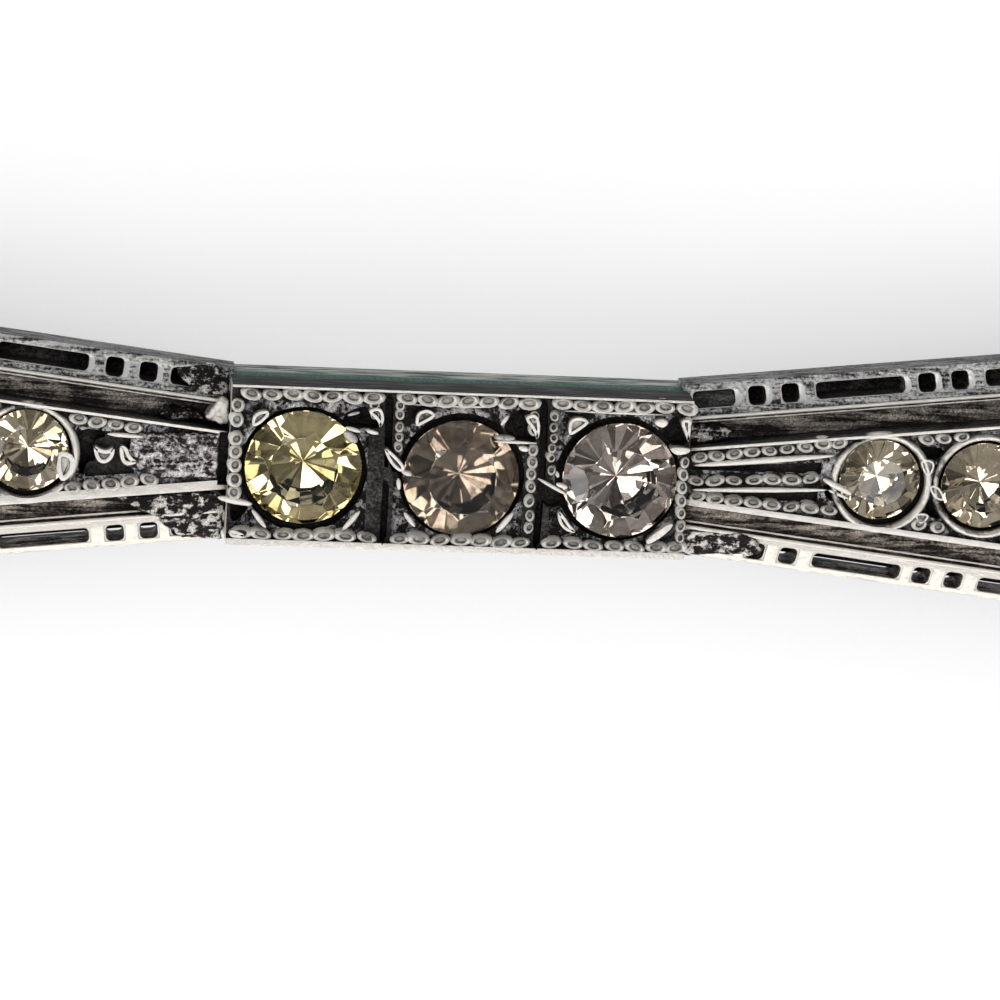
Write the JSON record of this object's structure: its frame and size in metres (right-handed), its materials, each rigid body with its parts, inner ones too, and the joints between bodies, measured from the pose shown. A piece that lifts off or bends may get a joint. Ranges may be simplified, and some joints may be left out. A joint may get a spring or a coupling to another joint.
{
  "type": "rhinestone bar brooch",
  "caption": "Bow-tie bar brooch: a raised block and two flared pierced wings set with round faceted paste stones, beaded edges, a pin fitting on the back.",
  "frame": {"origin": "under the middle of the brooch, on the surface that its pin fitting rests on", "axes": "+X along the bar from wing to wing, +Y across it, +Z out of its face"},
  "size_m": [0.052, 0.0088, 0.0058],
  "materials": {
    "silver": "worn silver tone with black-brown tarnish in the recesses",
    "paste_olive": "faceted olive-yellow paste",
    "paste_brown": "faceted brown-grey paste",
    "paste_rose": "faceted clear paste with a pinkish brown cast",
    "paste_pale": "faceted pale yellow-green paste",
    "pin_metal": "plain silver-tone metal"
  },
  "bodies": {
    "root": {"frame": "silver", "stone_left": "paste_olive", "stone_middle": "paste_brown", "stone_right": "paste_rose", "wing_stone_l1": "paste_pale", "wing_stone_l2": "paste_pale", "wing_stone_l3": "paste_pale", "wing_stone_l4": "paste_pale", "wing_stone_l5": "paste_pale", "wing_stone_r1": "paste_pale", "wing_stone_r2": "paste_pale", "wing_stone_r3": "paste_pale", "wing_stone_r4": "paste_pale", "wing_stone_r5": "paste_pale", "pin_back": "pin_metal"}
  },
  "joints": []
}
